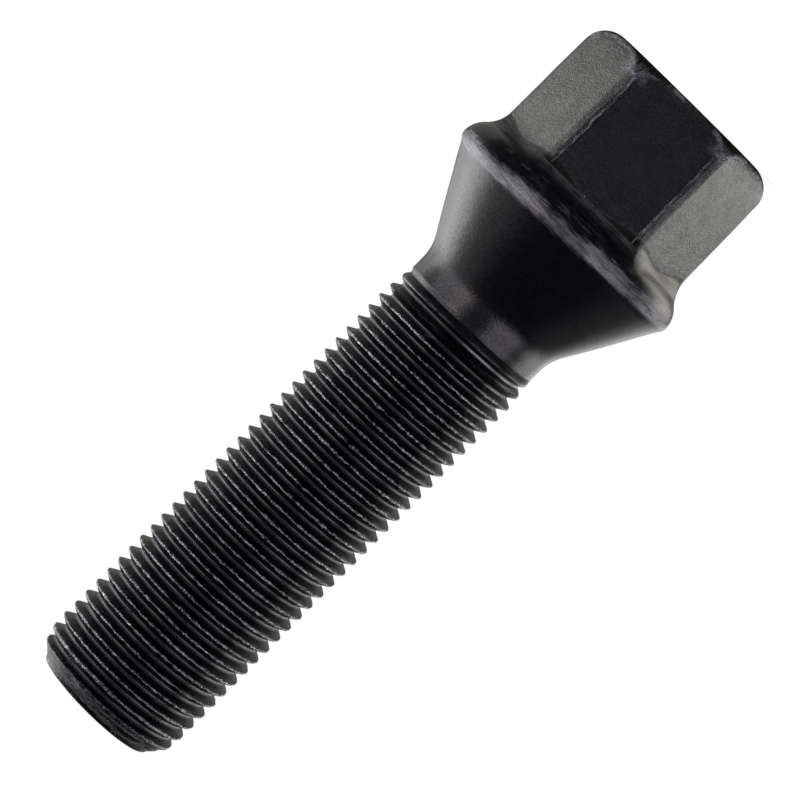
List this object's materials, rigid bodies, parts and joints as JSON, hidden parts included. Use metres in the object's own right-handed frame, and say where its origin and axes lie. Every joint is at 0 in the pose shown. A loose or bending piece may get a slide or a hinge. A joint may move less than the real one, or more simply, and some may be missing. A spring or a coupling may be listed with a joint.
{
  "type": "wheel bolt",
  "caption": "Hexagon-head wheel bolt with a rounded rim, a conical seat, a short bare neck and a long fine-threaded shank, black finish.",
  "frame": {"origin": "centre of the flat end face of the head, on the bolt's axis; the bolt stands on that face", "axes": "+Z runs along the bolt's axis from the head to the tip of the thread; one flat of the hexagon faces -Y and its corners lie on +X and -X; right-handed, metres"},
  "size_m": [0.0226, 0.0226, 0.0681],
  "materials": {
    "black_phosphated_steel": "black phosphate coating on forged steel, satin, rubbed brighter along the rim, the hexagon's edges and the thread crests"
  },
  "bodies": {
    "root": {"wheel_bolt": "black_phosphated_steel"}
  },
  "joints": []
}
